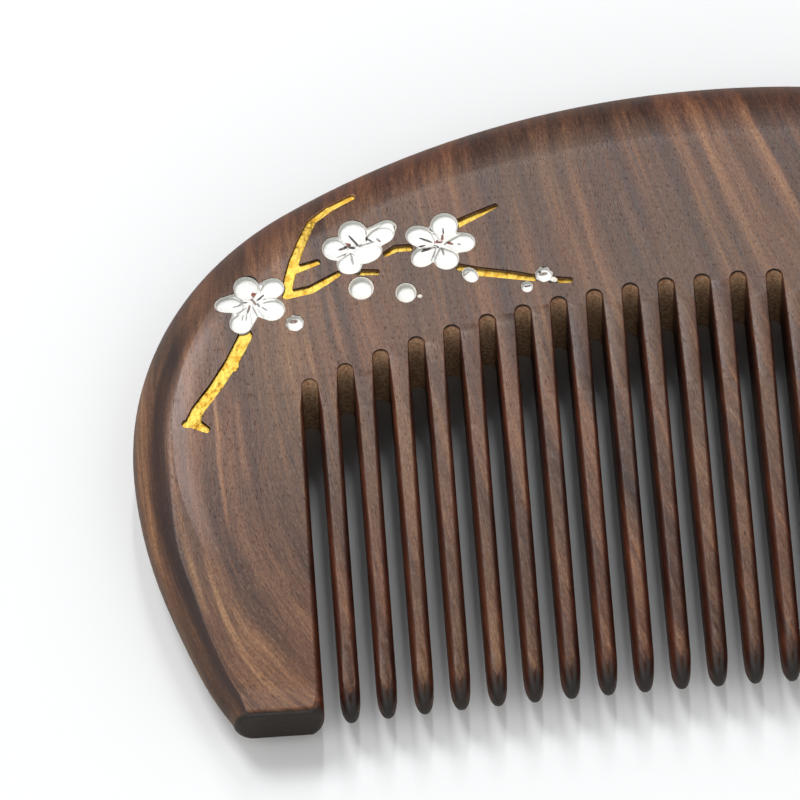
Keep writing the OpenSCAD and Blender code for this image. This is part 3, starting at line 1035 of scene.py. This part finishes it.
# The white blossoms and buds. Each petal and bud is a small milled bowl with a flat floor,
# filled with white enamel that leaves a thin rim at the face.
enamel_unevenness = 0.03
enamel_lump = 0.5
bowl_rim = 0.12
hollow_depth = 0.2
ridge = 0.07
petal_wall = 0.1
bud_rim = 0.17
bud_wall = 0.26
rim_depth = 0.12
bowl_foot = 0.6
bowl_foot_share = 0.3
glaze_tones = (tone(232, 234, 232), tone(248, 248, 246))
rim_tones = (tone(222, 208, 190), tone(222, 224, 216))
slope_shade_tone = tone(206, 202, 196)
shade_toward_tips = tone(186, 188, 184)
warm_reflection_toward_spine = tone(216, 196, 166)
glaze_dirt = tone(150, 146, 138)
white, tree, white_shader = new_material("white enamel")
lumps, specks = unevenness(tree, 0.6, 0.22, 0.12)
facing = normal_parts(tree)
height = node(tree, "SeparateXYZ", {0: node(tree, "TexCoord").outputs["Object"]}).outputs[2]
at_face = fade(tree, height, (body_thickness - 2 * rim_depth) * mm,
               (body_thickness - rim_depth) * mm)
glaze = tint(tree, fade(tree, lumps, 0.3, 0.7), *glaze_tones)
glaze = tint(tree, at_face, glaze, tint(tree, fade(tree, lumps, 0.4, 0.6), *rim_tones))
# Steep walls are painted greyer, and walls turned towards the tips greyer still, as painted shade;
# walls turned towards the spine are painted cream, a painted reflection of the wood
glaze = tint(tree, fade(tree, facing[2], 0.93, 0.6), glaze, slope_shade_tone)
glaze = tint(tree, fade(tree, facing[1], -0.35, -0.85), glaze, shade_toward_tips)
glaze = tint(tree, fade(tree, facing[1], 0.4, 0.9), glaze, warm_reflection_toward_spine)
glaze = tint(tree, times(tree, specks, 0.35), glaze, glaze_dirt)
tree.links.new(glaze, white_shader.inputs["Base Color"])
tree.links.new(total(tree, 0.3, about_half(tree, lumps, 0.3)), white_shader.inputs["Roughness"])
roughen(tree, white_shader, lumps, 0.3, 0.08)


def petal_bowls(middle, petals):
    """What is hollowed out of a blossom: a shallow dish over all, and each petal deeper."""
    yield from petal_spans(middle, petals, -hollow_depth, above_face, wider=-bowl_rim)
    for x, y, length, width, turned, depth in petals:
        foot = (mix(middle[0], x, bowl_foot_share), mix(middle[1], y, bowl_foot_share),
                bowl_foot, bowl_foot, 0)
        yield span([(x, y, length, width, turned), foot], -depth, 0,
                   wider=-bowl_rim - ridge, foot_wider=-petal_wall)


def enamel(name, solids, bowls):
    """Hollows the joined solids with bowls and softens them to a white filling."""
    filling = join_solids(solids)
    for bowl in bowls:
        carve(filling, bowl)
    melt(filling)
    uneven(filling, enamel_unevenness, enamel_lump)
    filling.name = name + "_enamel"
    return filling


def finish_enamel(filling, name):
    """Brings a blossom's or bud's enamel to its place and paints it."""
    shrink_to_metres(filling, paint_smooth_up_to)
    paint(filling, white)
    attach(filling, "root")
    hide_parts(name)


# The stamens and the creases between the petals are thin strokes of ink on the enamel.
# Columns: from along X and Y, to along X and Y, width, ink. They are read at the height of
# the face, and on the bowls' floors they lie a little further back.
stroke_shift = 0.2
stroke_height = -0.3
stroke_thickness = 0.03
stroke_steps = 7
# Columns: share of the half length past which a stroke narrows, and share of the width left
stroke_tapers = ((0.99, 0.35), (0.65, 0.8))
strokes = {
    "blossom_1": [
        (-44.2, 10.7, -44.45, 9.95, 0.18, "red"), (-45.48, 9.58, -44.84, 9.63, 0.2, "dark"),
        (-43.83, 9.77, -43.26, 10.15, 0.2, "dark"), (-44.55, 9.18, -44.77, 8.45, 0.22, "brown"),
        (-43.81, 9.29, -43.69, 9.01, 0.2, "grey"), (-44.3, 9.9, -44.0, 9.3, 0.2, "brown"),
        (-43.29, 11.51, -43.21, 10.97, 0.1, "grey"), (-43.43, 8.88, -42.99, 8.53, 0.12, "grey"),
        (-45.20, 8.16, -45.32, 7.64, 0.1, "grey"), (-44.88, 8.24, -44.96, 7.61, 0.1, "grey"),
        (-46.05, 9.30, -45.40, 9.46, 0.1, "grey"), (-43.2, 9.75, -41.75, 9.6, 0.12, "grey"),
        (-44.3, 9.0, -43.9, 7.85, 0.12, "grey"), (-44.9, 9.0, -46.15, 8.3, 0.12, "grey"),
        (-45.1, 9.85, -45.9, 10.45, 0.12, "grey")],
    "blossom_2": [
        (-35.03, 15.93, -34.31, 14.90, 0.2, "dark"), (-35.99, 14.51, -35.28, 14.72, 0.24, "dark"),
        (-35.36, 15.07, -35.06, 15.0, 0.26, "red"), (-35.1, 14.6, -34.7, 14.5, 0.3, "dark"),
        (-34.99, 13.81, -34.88, 12.87, 0.2, "grey"), (-33.44, 16.17, -33.49, 15.31, 0.2, "dark"),
        (-33.5, 15.5, -33.0, 15.15, 0.16, "dark"), (-34.5, 14.65, -32.8, 15.1, 0.12, "grey"),
        (-32.52, 15.37, -32.26, 15.10, 0.2, "grey"), (-36.26, 13.70, -35.32, 14.05, 0.1, "grey"),
        (-31.78, 17.28, -30.93, 17.01, 0.14, "brown"), (-30.93, 17.01, -30.77, 16.02, 0.14, "brown"),
        (-30.77, 16.02, -30.98, 15.33, 0.12, "brown")],
    "blossom_3": [
        (-26.52, 15.31, -26.62, 14.60, 0.22, "red"), (-26.10, 14.46, -25.68, 14.32, 0.2, "red"),
        (-27.22, 14.55, -26.72, 14.51, 0.3, "red"), (-28.59, 15.17, -27.58, 14.67, 0.18, "dark"),
        (-29.28, 14.08, -28.21, 14.37, 0.16, "dark"), (-28.52, 13.72, -27.72, 13.96, 0.18, "dark"),
        (-27.74, 16.13, -27.19, 15.27, 0.16, "dark"), (-26.43, 16.03, -26.43, 15.51, 0.14, "dark"),
        (-27.3, 14.1, -27.05, 13.95, 0.22, "dark"), (-26.67, 13.88, -26.54, 13.25, 0.18, "grey"),
        (-25.18, 14.28, -24.95, 14.21, 0.14, "grey"), (-27.76, 12.60, -27.21, 13.95, 0.1, "grey")],
    "bud_3": [(-40.85, 7.1, -40.45, 7.15, 0.35, "brown")],
    "bud_4": [(-24.85, 10.85, -24.4, 11.15, 0.16, "grey")],
    "bud_5": [(-19.4, 9.2, -18.95, 9.25, 0.14, "dark")],
    "bud_6": [(-17.95, 10.4, -17.4, 10.45, 0.3, "brown"), (-18.0, 10.65, -17.9, 10.65, 0.16, "dark")],
}
# Each ink's colours where it lies thin and thick
ink_tones = {
    "red": (tone(150, 92, 76), tone(108, 58, 48)),
    "dark": (tone(96, 84, 80), tone(44, 36, 34)),
    "brown": (tone(150, 132, 122), tone(112, 90, 80)),
    "grey": (tone(176, 174, 170), tone(128, 124, 122)),
}
inks = {}
for name, tones in ink_tones.items():
    inks[name], tree, shader = new_material("ink " + name)
    lumps, specks = unevenness(tree, 0.25, 0.3, 0.3)
    tree.links.new(tint(tree, fade(tree, lumps, 0.4, 0.6), *tones), shader.inputs["Base Color"])
    tree.links.new(fade(tree, specks, 0, 1, 0.45, 0.7), shader.inputs["Roughness"])


def stroke(start_x, start_y, end_x, end_y, width, ink):
    """One stroke, pointed at both ends, lying level near the enamel."""
    length = hypot(end_x - start_x, end_y - start_y) + width
    bpy.ops.mesh.primitive_grid_add(x_subdivisions=stroke_steps, y_subdivisions=2, size=1)
    mark = bpy.context.object
    mark.scale = (length, width, 1)
    settle(mark)
    edit(mark)
    for share, narrowed in stroke_tapers:
        for side in (-1, 1):
            pick("VERT", lambda v: v.co.x * side > share * length / 2)
            resize(1, narrowed, 1, (0, 0, 0))
    bpy.ops.object.mode_set(mode="OBJECT")
    middle_x = (start_x + end_x) / 2
    middle_y = (start_y + end_y) / 2 + stroke_shift
    mark.rotation_euler = (0, 0, atan2(end_y - start_y, end_x - start_x))
    mark.location = (middle_x, middle_y, face_height(middle_x, middle_y) + stroke_height)
    settle(mark)
    paint(mark, inks[ink])
    return mark


def lay_strokes(name, filling):
    """Lays a blossom's or bud's strokes on its enamel, as one piece."""
    marks = [stroke(*row) for row in strokes[name]]
    choose(marks[0])
    for mark in marks[1:]:
        mark.select_set(True)
    bpy.ops.object.join()
    marks[0].name = name + "_ink"
    finish_with(marks[0], "SHRINKWRAP", target=filling, wrap_mode="ABOVE_SURFACE",
                offset=stroke_thickness / 2)
    finish_with(marks[0], "SOLIDIFY", thickness=stroke_thickness, offset=0)
    shrink_to_metres(marks[0], paint_smooth_up_to)
    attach(marks[0], "root")


fill_bottom = filling_gap - recess_depth
fill_top = -filling_gap
for name, (middle_place, petals) in blossoms.items():
    filling = enamel(name, petal_spans(middle_place, petals, fill_bottom, fill_top),
                     petal_bowls(middle_place, petals))
    lay_strokes(name, filling)
    finish_enamel(filling, name)
for name, (sides, spots) in buds.items():
    solids = [span([spot], fill_bottom, fill_top, sides=sides) for spot in spots]
    bowls = [span([spot], -spot[5], 0, wider=-bud_rim * spot[2] / 2,
                  foot_wider=-bud_wall * spot[2] / 2) for spot in spots if spot[5]]
    filling = enamel(name, solids, bowls)
    if name in strokes:
        lay_strokes(name, filling)
    finish_enamel(filling, name)
